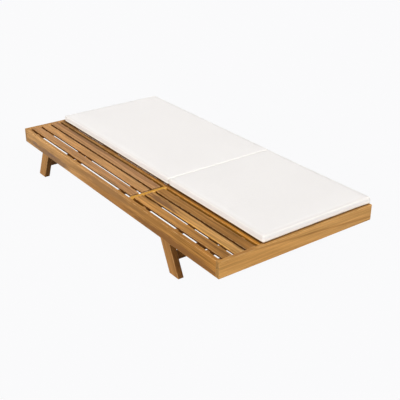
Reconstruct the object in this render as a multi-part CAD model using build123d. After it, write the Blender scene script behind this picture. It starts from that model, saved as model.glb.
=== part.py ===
import math
import os
from collections import namedtuple

from build123d import *

# Overall size: X across, Y from the foot end to the head end, Z up from the floor
overall_length = 2000.0
overall_width = 958.0
deck_height = 270.0
head_section_length = 786.0

# Boards of the frame
rail_height = 85.0
rail_thickness = 21.0
board_edge_radius = 2.0
shelf_clear_width = 218.0
section_gap = 15.0
cross_rail_setback = 1.0

# Slats of the shelf and of the bed
slat_thickness = 10.0
slat_width = 53.0
shelf_slat_gap = 13.0
shelf_slat_count = 3
bed_slat_count = 8
bed_edge_gap = 10.0

# Battens under the slats
batten_width = 21.0
batten_height = 28.0
foot_batten_inset = 101.0
head_batten_inset = 105.0
head_middle_shift = 20.0

# Splayed legs and the bars between them
leg_thickness = 32.0
leg_width = 70.0
leg_lean_degrees = 25.0
leg_top_depth = 50.0
leg_foot_radius = 2.0
head_leg_toe_inset = 345.0
foot_leg_toe_inset = 111.0
leg_bar_height = 44.0
leg_bar_thickness = 21.0
leg_bar_foot_distance = 92.0
leg_bar_face_inset = 3.0

# Corner blocks and the cleat under the backrest's head end
corner_block_width = 25.0
corner_block_height = 60.0
cleat_thickness = 18.0
cleat_height = 22.0
cleat_end_gap = 3.0
rest_gap = 0.3

# Butt hinges at the fold
hinge_half_gap = 5.0
hinge_axis_depth = 3.5
hinge_width = 60.0
hinge_leaf_thickness = 2.0
hinge_leaf_drop = 28.0
hinge_knuckle_radius = 3.0
hinge_knuckle_count = 5
hinge_knuckle_gap = 0.4
hinge_leaf_clearance = 0.2
hinge_pin_radius = 1.5
hinge_pin_clearance = 0.06
hinge_spacing = 220.0
hinge_count = 3
hinge_rail_height = 60.0

# Backrest frame
backrest_foot_rail_height = 35.0
backrest_side_gap = 4.0
backrest_head_gap = 4.0
stile_width = 21.0
stile_height = 30.0
stile_head_clearance = 6.0
arm_space = 19.0

# Prop frame that holds the backrest up
prop_pivot_reach = 345.0
prop_length = 373.0
prop_turn_ratio = 1.935
prop_arm_height = 22.0
prop_arm_thickness = 15.0
prop_bar_radius = 7.0
pivot_bolt_radius = 4.0
pivot_bolt_clearance = 0.08
pivot_head_radius = 8.0
pivot_head_height = 5.0

# Notched racks that the prop's feet drop into
rack_clearance = 1.0
rack_side_clearance = 1.0
rack_height = 30.0
rack_end_wood = 12.0
rack_head_clearance = 8.0
rack_notch_clearance = 0.5
rack_notch_rise = 2.5
rack_notch_angles = (60.0, 49.0, 38.0, 27.0, 15.0)

# Fasteners
fastener_fit = 0.05
screw_radius = 2.0
screw_head_radius = 4.0
screw_head_height = 2.5
deck_screw_length = 34.0
frame_screw_length = 38.0
batten_screw_length = 45.0
hinge_screw_radius = 1.75
hinge_screw_head_radius = 3.5
hinge_screw_head_height = 1.6
hinge_screw_length = 16.0
hinge_screw_pitch = 20.0
hinge_screw_count = 3
leg_bolt_radius = 4.0
leg_bolt_head_radius = 7.5
leg_bolt_head_height = 5.0
leg_bolt_length = 48.0
leg_bolt_pitch = 36.0
dowel_radius = 4.0
dowel_length = 24.0
dowel_beam_depth = 9.0
end_dowel_depth = 14.0
end_dowel_shares = (0.3, 0.7)
cross_rail_dowel_shares = (0.35, 0.75)
hinge_rail_dowel_shares = (0.3, 0.75)
leg_bar_dowel_shares = (0.28, 0.72)
block_end_screw_shares = (0.15, 0.85)
block_side_screw_shares = (0.4, 0.7)
rack_screw_shares = (0.08, 0.37, 0.95)
rack_screw_drop_share = 0.6
cleat_screw_shares = (0.08, 0.36, 0.64, 0.92)
stile_end_screw_shares = (0.3, 0.7)
stile_slat_screw_length = 36.0
stile_screw_shift = 30.0

# Cushions
cushion_side_height = 36.0
cushion_crown_height = 40.0
cushion_beam_gap = 6.0
cushion_rail_overlap = 13.0
cushion_end_gap = 1.0
cushion_seam_half_gap = 0.5
cushion_edge_pull = 5.0
cushion_side_draw = 3.0
cushion_corner_length = 60.0
cushion_cap_length = 6.0

# Places worked out from the sizes above
deck_z = deck_height
slat_under_z = deck_z - slat_thickness
block_top_z = slat_under_z - rest_gap
rail_under_z = deck_z - rail_height
half_length = overall_length / 2
half_width = overall_width / 2
rail_inner_y = half_length - rail_thickness
rail_inner_x = half_width - rail_thickness
fold_y = half_length - head_section_length
cross_rail_foot_y = fold_y + cross_rail_setback
cross_rail_head_y = cross_rail_foot_y + rail_thickness
beam_shelf_x = rail_inner_x - shelf_clear_width
beam_bed_x = beam_shelf_x - rail_thickness
bed_low_x = -rail_inner_x
bed_high_x = beam_bed_x
bed_clear_width = bed_high_x - bed_low_x
bed_middle_x = (bed_high_x + bed_low_x) / 2
foot_slat_head_y = cross_rail_foot_y - section_gap
hinge_axis_z = deck_z - hinge_axis_depth
hinge_rail_head_y = fold_y - hinge_half_gap
backrest_foot_y = fold_y + hinge_half_gap
backrest_head_y = rail_inner_y - backrest_head_gap
stile_middle_z = slat_under_z - stile_height / 2
prop_pivot_y = fold_y + prop_pivot_reach
prop_bar_y = prop_pivot_y + prop_length
prop_arm_radius = prop_arm_height / 2
pivot_drop = stile_middle_z - hinge_axis_z
arm_side_clearance = (arm_space - prop_arm_thickness) / 2
leg_lean = math.radians(leg_lean_degrees)
leg_level_width = leg_width / math.cos(leg_lean)
leg_top_z = deck_z - leg_top_depth
overrun = rail_thickness

Fastener = namedtuple("Fastener", "start direction radius length head_radius head_height")


def slab(x0, x1, y0, y1, z0, z1):
    """A plain board between two corners."""
    middle = Pos((x0 + x1) / 2, (y0 + y1) / 2, (z0 + z1) / 2)
    return middle * Box(x1 - x0, y1 - y0, z1 - z0)


def board(x0, x1, y0, y1, z0, z1):
    """A board with all its arrises eased."""
    piece = slab(x0, x1, y0, y1, z0, z1)
    return fillet(piece.edges(), board_edge_radius)


def rod(start, direction, radius, length):
    """A round bar from start, along direction."""
    place = Plane(origin=start, z_dir=direction)
    return place * Cylinder(radius, length, align=(Align.CENTER, Align.CENTER, Align.MIN))


def screw(start, direction, length):
    """A countersunk wood screw whose head lies flush at start."""
    return Fastener(start, direction, screw_radius, length, screw_head_radius, screw_head_height)


def dowel(start, direction, length=dowel_length):
    """A plain round dowel."""
    return Fastener(start, direction, dowel_radius, length, dowel_radius, dowel_radius)


def fastener_solid(item):
    """The fastener itself."""
    shank = rod(item.start, item.direction, item.radius, item.length)
    if item.head_radius == item.radius:
        return shank
    return shank + rod(item.start, item.direction, item.head_radius, item.head_height)


def fastener_hole(item):
    """The hole that the fastener fills, wider and longer by the fit."""
    back = Vector(*item.start) - Vector(*item.direction) * fastener_fit
    start = tuple(back)
    length = item.length + 2 * fastener_fit
    hole = rod(start, item.direction, item.radius + fastener_fit, length)
    if item.head_radius == item.radius:
        return hole
    head = rod(start, item.direction, item.head_radius + fastener_fit, item.head_height + 2 * fastener_fit)
    return hole + head


def boxes_meet(first, second):
    """Whether two bounding boxes overlap."""
    pairs = (
        (first.min.X, first.max.X, second.min.X, second.max.X),
        (first.min.Y, first.max.Y, second.min.Y, second.max.Y),
        (first.min.Z, first.max.Z, second.min.Z, second.max.Z),
    )
    return all(low < other_high and other_low < high for low, high, other_low, other_high in pairs)


def drilled(piece, items):
    """The piece with a hole for every fastener that reaches it."""
    extent = piece.bounding_box()
    holes = [fastener_hole(item) for item in items]
    holes = [hole for hole in holes if boxes_meet(extent, hole.bounding_box())]
    for hole in holes:
        piece = piece - hole
    return piece


def group(items):
    """Separate like solids kept as one node."""
    return Compound(children=[fastener_solid(item) for item in items])


def shelf_slat_places():
    """Low X of each shelf slat, shared out evenly beside the two edge gaps."""
    filled = shelf_slat_count * slat_width + (shelf_slat_count - 1) * shelf_slat_gap
    edge_gap = (shelf_clear_width - filled) / 2
    pitch = slat_width + shelf_slat_gap
    return [beam_shelf_x + edge_gap + pitch * i for i in range(shelf_slat_count)]


def bed_slat_places():
    """Low X of each bed slat, from the far side rail to the middle beam."""
    open_width = bed_clear_width - 2 * bed_edge_gap - slat_width
    pitch = open_width / (bed_slat_count - 1)
    return [bed_low_x + bed_edge_gap + pitch * i for i in range(bed_slat_count)]


def foot_batten_places():
    """Middle Y of the three battens of the foot section."""
    low = -rail_inner_y + foot_batten_inset
    high = foot_slat_head_y - foot_batten_inset
    return [low, (low + high) / 2, high]


def head_batten_places():
    """Middle Y of the three battens of the head section."""
    low = cross_rail_head_y + head_batten_inset
    high = rail_inner_y - head_batten_inset
    return [low, (low + high) / 2 + head_middle_shift, high]


def batten(x0, x1, y):
    """One batten, under the slats."""
    half = batten_width / 2
    return board(x0, x1, y - half, y + half, slat_under_z - batten_height, slat_under_z)


def slat(x, y0, y1):
    """One slat, its top level with the rails."""
    return board(x, x + slat_width, y0, y1, slat_under_z, deck_z)


# Joints between the boards


def end_dowels():
    """Dowels that hold the side rails and the middle beam to both end rails."""
    items = []
    middles = (half_width - rail_thickness / 2, rail_thickness / 2 - half_width)
    middles += ((beam_shelf_x + beam_bed_x) / 2,)
    for x in middles:
        for end in (-1, 1):
            for share in end_dowel_shares:
                y = end * (rail_inner_y + end_dowel_depth)
                z = deck_z - rail_height * share
                items.append(dowel((x, y, z), (0, -end, 0)))
    return items


def cross_dowels(x_high, x_low, y, levels):
    """Dowels in both ends of a board that runs across, high end and low end."""
    items = []
    for z in levels:
        items.append(dowel((x_high + dowel_beam_depth, y, z), (-1, 0, 0)))
        items.append(dowel((x_low - dowel_beam_depth, y, z), (1, 0, 0)))
    return items


def board_dowels():
    """Dowels of the cross rail, the hinge rail and the fixed battens."""
    cross_y = (cross_rail_foot_y + cross_rail_head_y) / 2
    cross_levels = [deck_z - rail_height * share for share in cross_rail_dowel_shares]
    items = cross_dowels(rail_inner_x, beam_shelf_x, cross_y, cross_levels)
    hinge_y = hinge_rail_head_y - rail_thickness / 2
    hinge_levels = [slat_under_z - hinge_rail_height * share for share in hinge_rail_dowel_shares]
    items += cross_dowels(bed_high_x, bed_low_x, hinge_y, hinge_levels)
    batten_level = [slat_under_z - batten_height / 2]
    for y in foot_batten_places() + head_batten_places():
        items += cross_dowels(rail_inner_x, beam_shelf_x, y, batten_level)
    for y in foot_batten_places():
        items += cross_dowels(bed_high_x, bed_low_x, y, batten_level)
    return items


def leg_frames():
    """Toe Y and outward direction of the head legs and of the foot legs."""
    return {
        "head": (half_length - head_leg_toe_inset, 1),
        "foot": (foot_leg_toe_inset - half_length, -1),
    }


def leg_bar_corner(which):
    """Low corner of a leg bar's head-side face, on the leg's head-side edge."""
    toe_y, outward = leg_frames()[which]
    rise = leg_bar_foot_distance * math.cos(leg_lean)
    edge_y = toe_y if outward > 0 else toe_y + leg_level_width
    y = edge_y - outward * rise * math.tan(leg_lean)
    return y - leg_bar_face_inset / math.cos(leg_lean), rise


def leg_direction(which):
    """Unit vector up along a leg, in Y and Z."""
    outward = leg_frames()[which][1]
    return -outward * math.sin(leg_lean), math.cos(leg_lean)


def leg_bar_dowels():
    """Two dowels in each end of both leg bars."""
    items = []
    inner_x = rail_inner_x - leg_thickness
    for which in leg_frames():
        y, z = leg_bar_corner(which)
        up_y, up_z = leg_direction(which)
        back = leg_bar_thickness / 2
        for share in leg_bar_dowel_shares:
            along = leg_bar_height * share
            place_y = y + up_y * along - up_z * back
            place_z = z + up_z * along + up_y * back
            for side in (-1, 1):
                start = (side * (inner_x + end_dowel_depth), place_y, place_z)
                items.append(dowel(start, (-side, 0, 0)))
    return items


def corner_screws():
    """Screws through each corner block into the end rail and the side rail."""
    items = []
    half_block = corner_block_width / 2
    for side in (-1, 1):
        for end in (-1, 1):
            x = side * (rail_inner_x - half_block)
            y = end * (rail_inner_y - half_block)
            for share in block_end_screw_shares:
                z = block_top_z - corner_block_height * share
                start = (x, end * (rail_inner_y - corner_block_width), z)
                items.append(screw(start, (0, end, 0), frame_screw_length))
            for share in block_side_screw_shares:
                z = block_top_z - corner_block_height * share
                start = (side * (rail_inner_x - corner_block_width), y, z)
                items.append(screw(start, (side, 0, 0), frame_screw_length))
    return items


def rack_screws():
    """Three screws through each rack into the beam or the side rail."""
    items = []
    low_y, high_y = rack_reach()
    z = rack_top_z() - rack_height * rack_screw_drop_share
    for share in rack_screw_shares:
        y = low_y + (high_y - low_y) * share
        items.append(screw((rack_inner_x(1), y, z), (1, 0, 0), deck_screw_length))
        items.append(screw((rack_inner_x(-1), y, z), (-1, 0, 0), deck_screw_length))
    return items


def cleat_screws():
    """Four screws through the cleat into the head end rail."""
    items = []
    x0, x1 = cleat_reach()
    z = block_top_z - cleat_height / 2
    for share in cleat_screw_shares:
        x = x0 + (x1 - x0) * share
        items.append(screw((x, rail_inner_y - cleat_thickness, z), (0, 1, 0), deck_screw_length))
    return items


def deck_screws():
    """Screws up through the fixed battens and the hinge rail into the slats."""
    items = []
    z = slat_under_z - batten_height
    half = slat_width / 2
    for y in foot_batten_places() + head_batten_places():
        items += [screw((x + half, y, z), (0, 0, 1), deck_screw_length) for x in shelf_slat_places()]
    for y in foot_batten_places():
        items += [screw((x + half, y, z), (0, 0, 1), deck_screw_length) for x in bed_slat_places()]
    return items


def backrest_screws():
    """Screws of the backrest: slats on battens, battens and foot rail on the stiles."""
    items = []
    z = slat_under_z - batten_height
    level = slat_under_z - batten_height / 2
    half = slat_width / 2
    for y in head_batten_places():
        inner_slats = bed_slat_places()[1:-1]
        items += [screw((x + half, y, z), (0, 0, 1), deck_screw_length) for x in inner_slats]
        items.append(screw((bed_high_x - arm_space, y, level), (-1, 0, 0), batten_screw_length))
        items.append(screw((bed_low_x + arm_space, y, level), (1, 0, 0), batten_screw_length))
    for x in (bed_high_x - arm_space - stile_width / 2, bed_low_x + arm_space + stile_width / 2):
        for y in head_batten_places():
            start = (x, y + stile_screw_shift, slat_under_z - stile_height)
            items.append(screw(start, (0, 0, 1), stile_slat_screw_length))
        for share in stile_end_screw_shares:
            start = (x, backrest_foot_y, slat_under_z - stile_height * share)
            items.append(screw(start, (0, 1, 0), batten_screw_length))
    return items


def leg_bolts():
    """Two bolts from the inner face of each leg into the side rail."""
    items = []
    z = (leg_top_z + rail_under_z) / 2
    for toe_y, outward in leg_frames().values():
        middle = toe_y - outward * (leg_level_width / 2 + z * math.tan(leg_lean))
        for side in (-1, 1):
            for offset in (-leg_bolt_pitch / 2, leg_bolt_pitch / 2):
                x = side * (rail_inner_x - leg_thickness - leg_bolt_head_height)
                start = (x, middle + offset, z)
                items.append(
                    Fastener(
                        start,
                        (side, 0, 0),
                        leg_bolt_radius,
                        leg_bolt_length,
                        leg_bolt_head_radius,
                        leg_bolt_head_height,
                    )
                )
    return items


def hinge_places():
    """Middle X of each butt hinge."""
    first = bed_middle_x - hinge_spacing * (hinge_count - 1) / 2
    return [first + hinge_spacing * i for i in range(hinge_count)]


def hinge_screws(side):
    """Screws sunk in the leaves, side 1 for the backrest and -1 for the hinge rail."""
    items = []
    z = hinge_axis_z - (hinge_knuckle_radius + hinge_leaf_drop) / 2
    y = fold_y + side * (hinge_half_gap - hinge_leaf_thickness)
    for middle in hinge_places():
        first = middle - hinge_screw_pitch * (hinge_screw_count - 1) / 2
        for i in range(hinge_screw_count):
            items.append(
                Fastener(
                    (first + hinge_screw_pitch * i, y, z),
                    (0, side, 0),
                    hinge_screw_radius,
                    hinge_screw_length,
                    hinge_screw_head_radius,
                    hinge_screw_head_height,
                )
            )
    return items


def pivot_bolts():
    """The two bolts that the prop's arms turn on."""
    items = []
    length = pivot_head_height + stile_width + arm_side_clearance + prop_arm_thickness
    back = arm_space + stile_width + pivot_head_height
    for wall, side in ((bed_high_x, 1), (bed_low_x, -1)):
        items.append(
            Fastener(
                (wall - side * back, prop_pivot_y, stile_middle_z),
                (side, 0, 0),
                pivot_bolt_radius,
                length,
                pivot_head_radius,
                pivot_head_height,
            )
        )
    return items


# Frame


def end_rail(end, items):
    """The board across the head end (end 1) or the foot end (end -1)."""
    y0, y1 = sorted((end * rail_inner_y, end * half_length))
    return drilled(board(-half_width, half_width, y0, y1, rail_under_z, deck_z), items)


def side_rail(side, items):
    """A long side board between the two end rails."""
    x0, x1 = sorted((side * rail_inner_x, side * half_width))
    return drilled(board(x0, x1, -rail_inner_y, rail_inner_y, rail_under_z, deck_z), items)


def middle_beam(items):
    """The long board between the shelf and the bed."""
    piece = board(beam_bed_x, beam_shelf_x, -rail_inner_y, rail_inner_y, rail_under_z, deck_z)
    return drilled(piece, items)


def shelf_cross_rail(items):
    """The board across the shelf, in line with the fold."""
    y0, y1 = cross_rail_foot_y, cross_rail_head_y
    return drilled(board(beam_shelf_x, rail_inner_x, y0, y1, rail_under_z, deck_z), items)


def seat_hinge_rail(items):
    """The fixed board across the bed that carries the hinges."""
    y0 = hinge_rail_head_y - rail_thickness
    z0 = slat_under_z - hinge_rail_height
    return drilled(board(bed_low_x, bed_high_x, y0, hinge_rail_head_y, z0, slat_under_z), items)


def battens(x0, x1, places, items):
    """Like battens as one node."""
    return Compound(children=[drilled(batten(x0, x1, y), items) for y in places])


def leg(which, side, items):
    """One splayed leg, cut level at the foot and at the top."""
    toe_y, outward = leg_frames()[which]
    heel_y = toe_y - outward * leg_level_width
    shift = -outward * leg_top_z * math.tan(leg_lean)
    points = [(toe_y, 0), (heel_y, 0), (heel_y + shift, leg_top_z), (toe_y + shift, leg_top_z)]
    outline = Plane.YZ * Polyline(*points, close=True)
    x_inner = rail_inner_x - leg_thickness
    start = x_inner if side > 0 else -rail_inner_x
    piece = Pos(start, 0, 0) * extrude(make_face(outline), leg_thickness, dir=(1, 0, 0))
    piece = fillet(piece.edges(), leg_foot_radius)
    return drilled(piece, items)


def leg_bar(which, items):
    """The bar between two legs, leaning with them."""
    y, z = leg_bar_corner(which)
    up_y, up_z = leg_direction(which)
    inner_x = rail_inner_x - leg_thickness
    rise_y, rise_z = up_y * leg_bar_height, up_z * leg_bar_height
    back_y, back_z = -up_z * leg_bar_thickness, up_y * leg_bar_thickness
    points = [(y, z), (y + rise_y, z + rise_z)]
    points += [(y + rise_y + back_y, z + rise_z + back_z), (y + back_y, z + back_z)]
    outline = Plane.YZ * Polyline(*points, close=True)
    piece = Pos(-inner_x, 0, 0) * extrude(make_face(outline), 2 * inner_x, dir=(1, 0, 0))
    piece = fillet(piece.edges().filter_by(Axis.X), board_edge_radius)
    return drilled(piece, items)


def corner_blocks(items):
    """A square block inside each corner of the frame."""
    blocks = []
    for side in (-1, 1):
        for end in (-1, 1):
            x0, x1 = sorted((side * rail_inner_x, side * (rail_inner_x - corner_block_width)))
            y0, y1 = sorted((end * rail_inner_y, end * (rail_inner_y - corner_block_width)))
            piece = slab(x0, x1, y0, y1, block_top_z - corner_block_height, block_top_z)
            blocks.append(drilled(piece, items))
    return Compound(children=blocks)


def cleat_reach():
    """Low and high X of the cleat, clear of the corner block and of the beam."""
    return bed_low_x + corner_block_width + cleat_end_gap, bed_high_x - cleat_end_gap


def head_cleat(items):
    """The cleat that the flat backrest lies on."""
    x0, x1 = cleat_reach()
    y0 = rail_inner_y - cleat_thickness
    piece = slab(x0, x1, y0, rail_inner_y, block_top_z - cleat_height, block_top_z)
    return drilled(piece, items)


# Notched racks


def prop_foot_place(angle_degrees):
    """Reach from the fold to the prop's bar with the backrest raised by an angle."""
    angle = math.radians(angle_degrees)
    pivot = prop_pivot_reach * math.cos(angle) - pivot_drop * math.sin(angle)
    return pivot + prop_length * math.cos((prop_turn_ratio - 1) * angle)


def rack_top_z():
    """Top of the racks, just under the prop's round feet."""
    return stile_middle_z - prop_arm_radius - rack_clearance


def rack_inner_x(side):
    """Face of a rack that looks into the bed."""
    thickness = arm_space - rack_side_clearance
    return bed_high_x - thickness if side > 0 else bed_low_x + thickness


def rack_reach():
    """Low and high Y of the racks."""
    notch_radius = prop_arm_radius + rack_notch_clearance
    low = fold_y + prop_foot_place(rack_notch_angles[0]) - notch_radius - rack_end_wood
    return low, rail_inner_y - corner_block_width - rack_head_clearance


def notched_rack(side, items):
    """A rack with a round notch for each reclined position."""
    low_y, high_y = rack_reach()
    top = rack_top_z()
    wall = bed_high_x if side > 0 else bed_low_x
    x0, x1 = sorted((wall, rack_inner_x(side)))
    piece = slab(x0, x1, low_y, high_y, top - rack_height, top)
    radius = prop_arm_radius + rack_notch_clearance
    for angle in rack_notch_angles:
        start = (x0 - overrun, fold_y + prop_foot_place(angle), top + rack_notch_rise)
        piece = piece - rod(start, (1, 0, 0), radius, x1 - x0 + 2 * overrun)
    return drilled(piece, items)


# Hinges


def knuckle_spans(middle, owner):
    """Low and high X of the knuckles, owner 0 for the fixed leaf and 1 for the moving one."""
    pitch = hinge_width / hinge_knuckle_count
    first = middle - hinge_width / 2
    trim = hinge_knuckle_gap / 2
    spans = [(first + pitch * i + trim, first + pitch * (i + 1) - trim) for i in range(hinge_knuckle_count)]
    return spans[owner::2]


def hinge_leaf(middle, side, items):
    """One leaf with its knuckles, side 1 for the backrest and -1 for the hinge rail."""
    face = fold_y + side * hinge_half_gap
    inner = face - side * hinge_leaf_thickness
    plate_top = hinge_axis_z - hinge_knuckle_radius - hinge_leaf_clearance
    y0, y1 = sorted((face, inner))
    half = hinge_width / 2
    leaf = slab(middle - half, middle + half, y0, y1, hinge_axis_z - hinge_leaf_drop, plate_top)
    y0, y1 = sorted((face, fold_y))
    for x0, x1 in knuckle_spans(middle, 0 if side < 0 else 1):
        leaf = leaf + slab(x0, x1, y0, y1, plate_top - hinge_leaf_thickness, hinge_axis_z)
        leaf = leaf + rod((x0, fold_y, hinge_axis_z), (1, 0, 0), hinge_knuckle_radius, x1 - x0)
    start = (middle - half - overrun, fold_y, hinge_axis_z)
    bore = rod(start, (1, 0, 0), hinge_pin_radius + hinge_pin_clearance, hinge_width + 2 * overrun)
    return drilled(leaf - bore, items)


def hinge_leaves(side, items):
    """The like leaves of all hinges."""
    return Compound(children=[hinge_leaf(middle, side, items) for middle in hinge_places()])


def hinge_pins():
    """The pins of all hinges."""
    pins = []
    for middle in hinge_places():
        start = (middle - hinge_width / 2, fold_y, hinge_axis_z)
        pins.append(rod(start, (1, 0, 0), hinge_pin_radius, hinge_width))
    return Compound(children=pins)


# Backrest and prop


def backrest_foot_rail(items):
    """The board across the backrest that the hinges hold."""
    x0, x1 = bed_low_x + backrest_side_gap, bed_high_x - backrest_side_gap
    y1 = backrest_foot_y + rail_thickness
    z0 = slat_under_z - backrest_foot_rail_height
    return drilled(board(x0, x1, backrest_foot_y, y1, z0, slat_under_z), items)


def stile_reach():
    """Low and high Y of the stiles, clear of the prop's bar."""
    high = prop_bar_y - prop_bar_radius - stile_head_clearance
    return backrest_foot_y + rail_thickness, high


def backrest_stile(side, items):
    """A long board under the backrest's slats, on which the prop turns."""
    outer = bed_high_x - arm_space if side > 0 else bed_low_x + arm_space
    x0, x1 = sorted((outer, outer - side * stile_width))
    y0, y1 = stile_reach()
    return drilled(board(x0, x1, y0, y1, slat_under_z - stile_height, slat_under_z), items)


def prop_arm(side):
    """A flat arm with round ends, from the pivot to the bar."""
    wall = bed_high_x if side > 0 else bed_low_x
    outer = wall - side * arm_side_clearance
    x0, x1 = sorted((outer, outer - side * prop_arm_thickness))
    low, high = stile_middle_z - prop_arm_radius, stile_middle_z + prop_arm_radius
    piece = slab(x0, x1, prop_pivot_y, prop_bar_y, low, high)
    for y in (prop_pivot_y, prop_bar_y):
        piece = piece + rod((x0, y, stile_middle_z), (1, 0, 0), prop_arm_radius, x1 - x0)
    bores = (
        (prop_pivot_y, pivot_bolt_radius + pivot_bolt_clearance),
        (prop_bar_y, prop_bar_radius + fastener_fit),
    )
    for y, radius in bores:
        start = (x0 - overrun, y, stile_middle_z)
        piece = piece - rod(start, (1, 0, 0), radius, x1 - x0 + 2 * overrun)
    return piece


def prop_bar():
    """The round bar between the arms, its ends flush with their outer faces."""
    x0 = bed_low_x + arm_side_clearance
    x1 = bed_high_x - arm_side_clearance
    return rod((x0, prop_bar_y, stile_middle_z), (1, 0, 0), prop_bar_radius, x1 - x0)


# Cushions


def cushion_section(y, low_x, high_x, low_z, side_z, crown_z):
    """Cross-section of a cushion: flat base, bulging sides and a crowned top."""
    pull = cushion_edge_pull
    half_z = (low_z + side_z) / 2
    middle_x = (low_x + high_x) / 2
    base_low, base_high = (low_x + pull, y, low_z), (high_x - pull, y, low_z)
    top_low, top_high = (low_x + pull, y, side_z), (high_x - pull, y, side_z)
    edges = [
        Line(base_low, base_high),
        ThreePointArc(base_high, (high_x, y, half_z), top_high),
        ThreePointArc(top_high, (middle_x, y, crown_z), top_low),
        ThreePointArc(top_low, (low_x, y, half_z), base_low),
    ]
    return make_face(edges)


def cushion(y0, y1):
    """A boxed cushion whose sides draw in between its corners."""
    low_x = bed_low_x - cushion_rail_overlap
    high_x = bed_high_x - cushion_beam_gap
    base = deck_z + rest_gap
    side = base + cushion_side_height
    crown = base + cushion_crown_height
    cap = cushion_cap_length
    draw = cushion_side_draw
    half_cap = cap / 2
    near_side = side + (crown - side) / 2
    places = (
        (y0, cap, half_cap, side - half_cap, side),
        (y0 + cap, 0, 0, side, near_side),
        (y0 + cushion_corner_length, draw / 2, 0, side, crown),
        ((y0 + y1) / 2, draw, 0, side, crown),
        (y1 - cushion_corner_length, draw / 2, 0, side, crown),
        (y1 - cap, 0, 0, side, near_side),
        (y1, cap, half_cap, side - half_cap, side),
    )
    sections = [
        cushion_section(y, low_x + inset, high_x - inset, base + lift, top, peak)
        for y, inset, lift, top, peak in places
    ]
    return loft(sections, ruled=True)


def make_parts():
    """Every sub-part by its node name."""
    parts = {}
    dowels = end_dowels() + board_dowels() + leg_bar_dowels()
    frame_items = corner_screws() + rack_screws() + cleat_screws()
    deck_items = deck_screws()
    bolt_items = leg_bolts()
    fixed_hinge_items = hinge_screws(-1)
    rail_items = dowels + frame_items + bolt_items
    backrest_items = backrest_screws()
    moving_hinge_items = hinge_screws(1)
    pivots = pivot_bolts()

    parts["head_end_rail"] = end_rail(1, rail_items)
    parts["foot_end_rail"] = end_rail(-1, rail_items)
    parts["shelf_side_rail"] = side_rail(1, rail_items)
    parts["bed_side_rail"] = side_rail(-1, rail_items)
    parts["middle_beam"] = middle_beam(rail_items)
    parts["shelf_cross_rail"] = shelf_cross_rail(rail_items)
    parts["seat_hinge_rail"] = seat_hinge_rail(dowels + fixed_hinge_items)
    parts["shelf_battens"] = battens(
        beam_shelf_x, rail_inner_x, foot_batten_places() + head_batten_places(), dowels + deck_items
    )
    parts["seat_battens"] = battens(bed_low_x, bed_high_x, foot_batten_places(), dowels + deck_items)
    for i, x in enumerate(shelf_slat_places(), 1):
        head = slat(x, cross_rail_head_y, rail_inner_y)
        foot = slat(x, -rail_inner_y, foot_slat_head_y)
        parts["shelf_head_slat_%d" % i] = drilled(head, deck_items)
        parts["shelf_foot_slat_%d" % i] = drilled(foot, deck_items)
    for i, x in enumerate(bed_slat_places(), 1):
        seat = slat(x, -rail_inner_y, hinge_rail_head_y)
        back = slat(x, backrest_foot_y, backrest_head_y)
        parts["seat_slat_%d" % i] = drilled(seat, deck_items)
        parts["backrest_slat_%d" % i] = drilled(back, backrest_items)
    for which in leg_frames():
        parts["%s_leg_shelf_side" % which] = leg(which, 1, dowels + bolt_items)
        parts["%s_leg_bed_side" % which] = leg(which, -1, dowels + bolt_items)
        parts["%s_leg_bar" % which] = leg_bar(which, dowels)
    parts["corner_blocks"] = corner_blocks(frame_items)
    parts["head_cleat"] = head_cleat(frame_items)
    parts["notched_rack_beam_side"] = notched_rack(1, frame_items)
    parts["notched_rack_rail_side"] = notched_rack(-1, frame_items)
    parts["joint_dowels"] = group(dowels)
    parts["frame_screws"] = group(frame_items)
    parts["deck_screws"] = group(deck_items)
    parts["leg_bolts"] = group(bolt_items)
    parts["hinge_fixed_leaves"] = hinge_leaves(-1, fixed_hinge_items)
    parts["hinge_moving_leaves"] = hinge_leaves(1, moving_hinge_items)
    parts["hinge_pins"] = hinge_pins()
    parts["hinge_fixed_screws"] = group(fixed_hinge_items)
    parts["backrest_foot_rail"] = backrest_foot_rail(backrest_items + moving_hinge_items)
    parts["backrest_stile_beam_side"] = backrest_stile(1, backrest_items + pivots)
    parts["backrest_stile_rail_side"] = backrest_stile(-1, backrest_items + pivots)
    parts["backrest_battens"] = battens(
        bed_low_x + arm_space + stile_width,
        bed_high_x - arm_space - stile_width,
        head_batten_places(),
        backrest_items,
    )
    parts["backrest_screws"] = group(backrest_items + moving_hinge_items)
    parts["prop_pivot_bolts"] = group(pivots)
    parts["prop_arm_beam_side"] = prop_arm(1)
    parts["prop_arm_rail_side"] = prop_arm(-1)
    parts["prop_bar"] = prop_bar()
    foot_end = cushion_end_gap - rail_inner_y
    parts["seat_cushion"] = cushion(foot_end, fold_y - cushion_seam_half_gap)
    parts["back_cushion"] = cushion(fold_y + cushion_seam_half_gap, rail_inner_y - cushion_end_gap)
    return parts


os.makedirs("parts", exist_ok=True)
for name, shape in make_parts().items():
    export_step(shape, "parts/%s.step" % name)
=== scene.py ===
import math

import bpy
from mathutils import Matrix, Vector, noise


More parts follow.
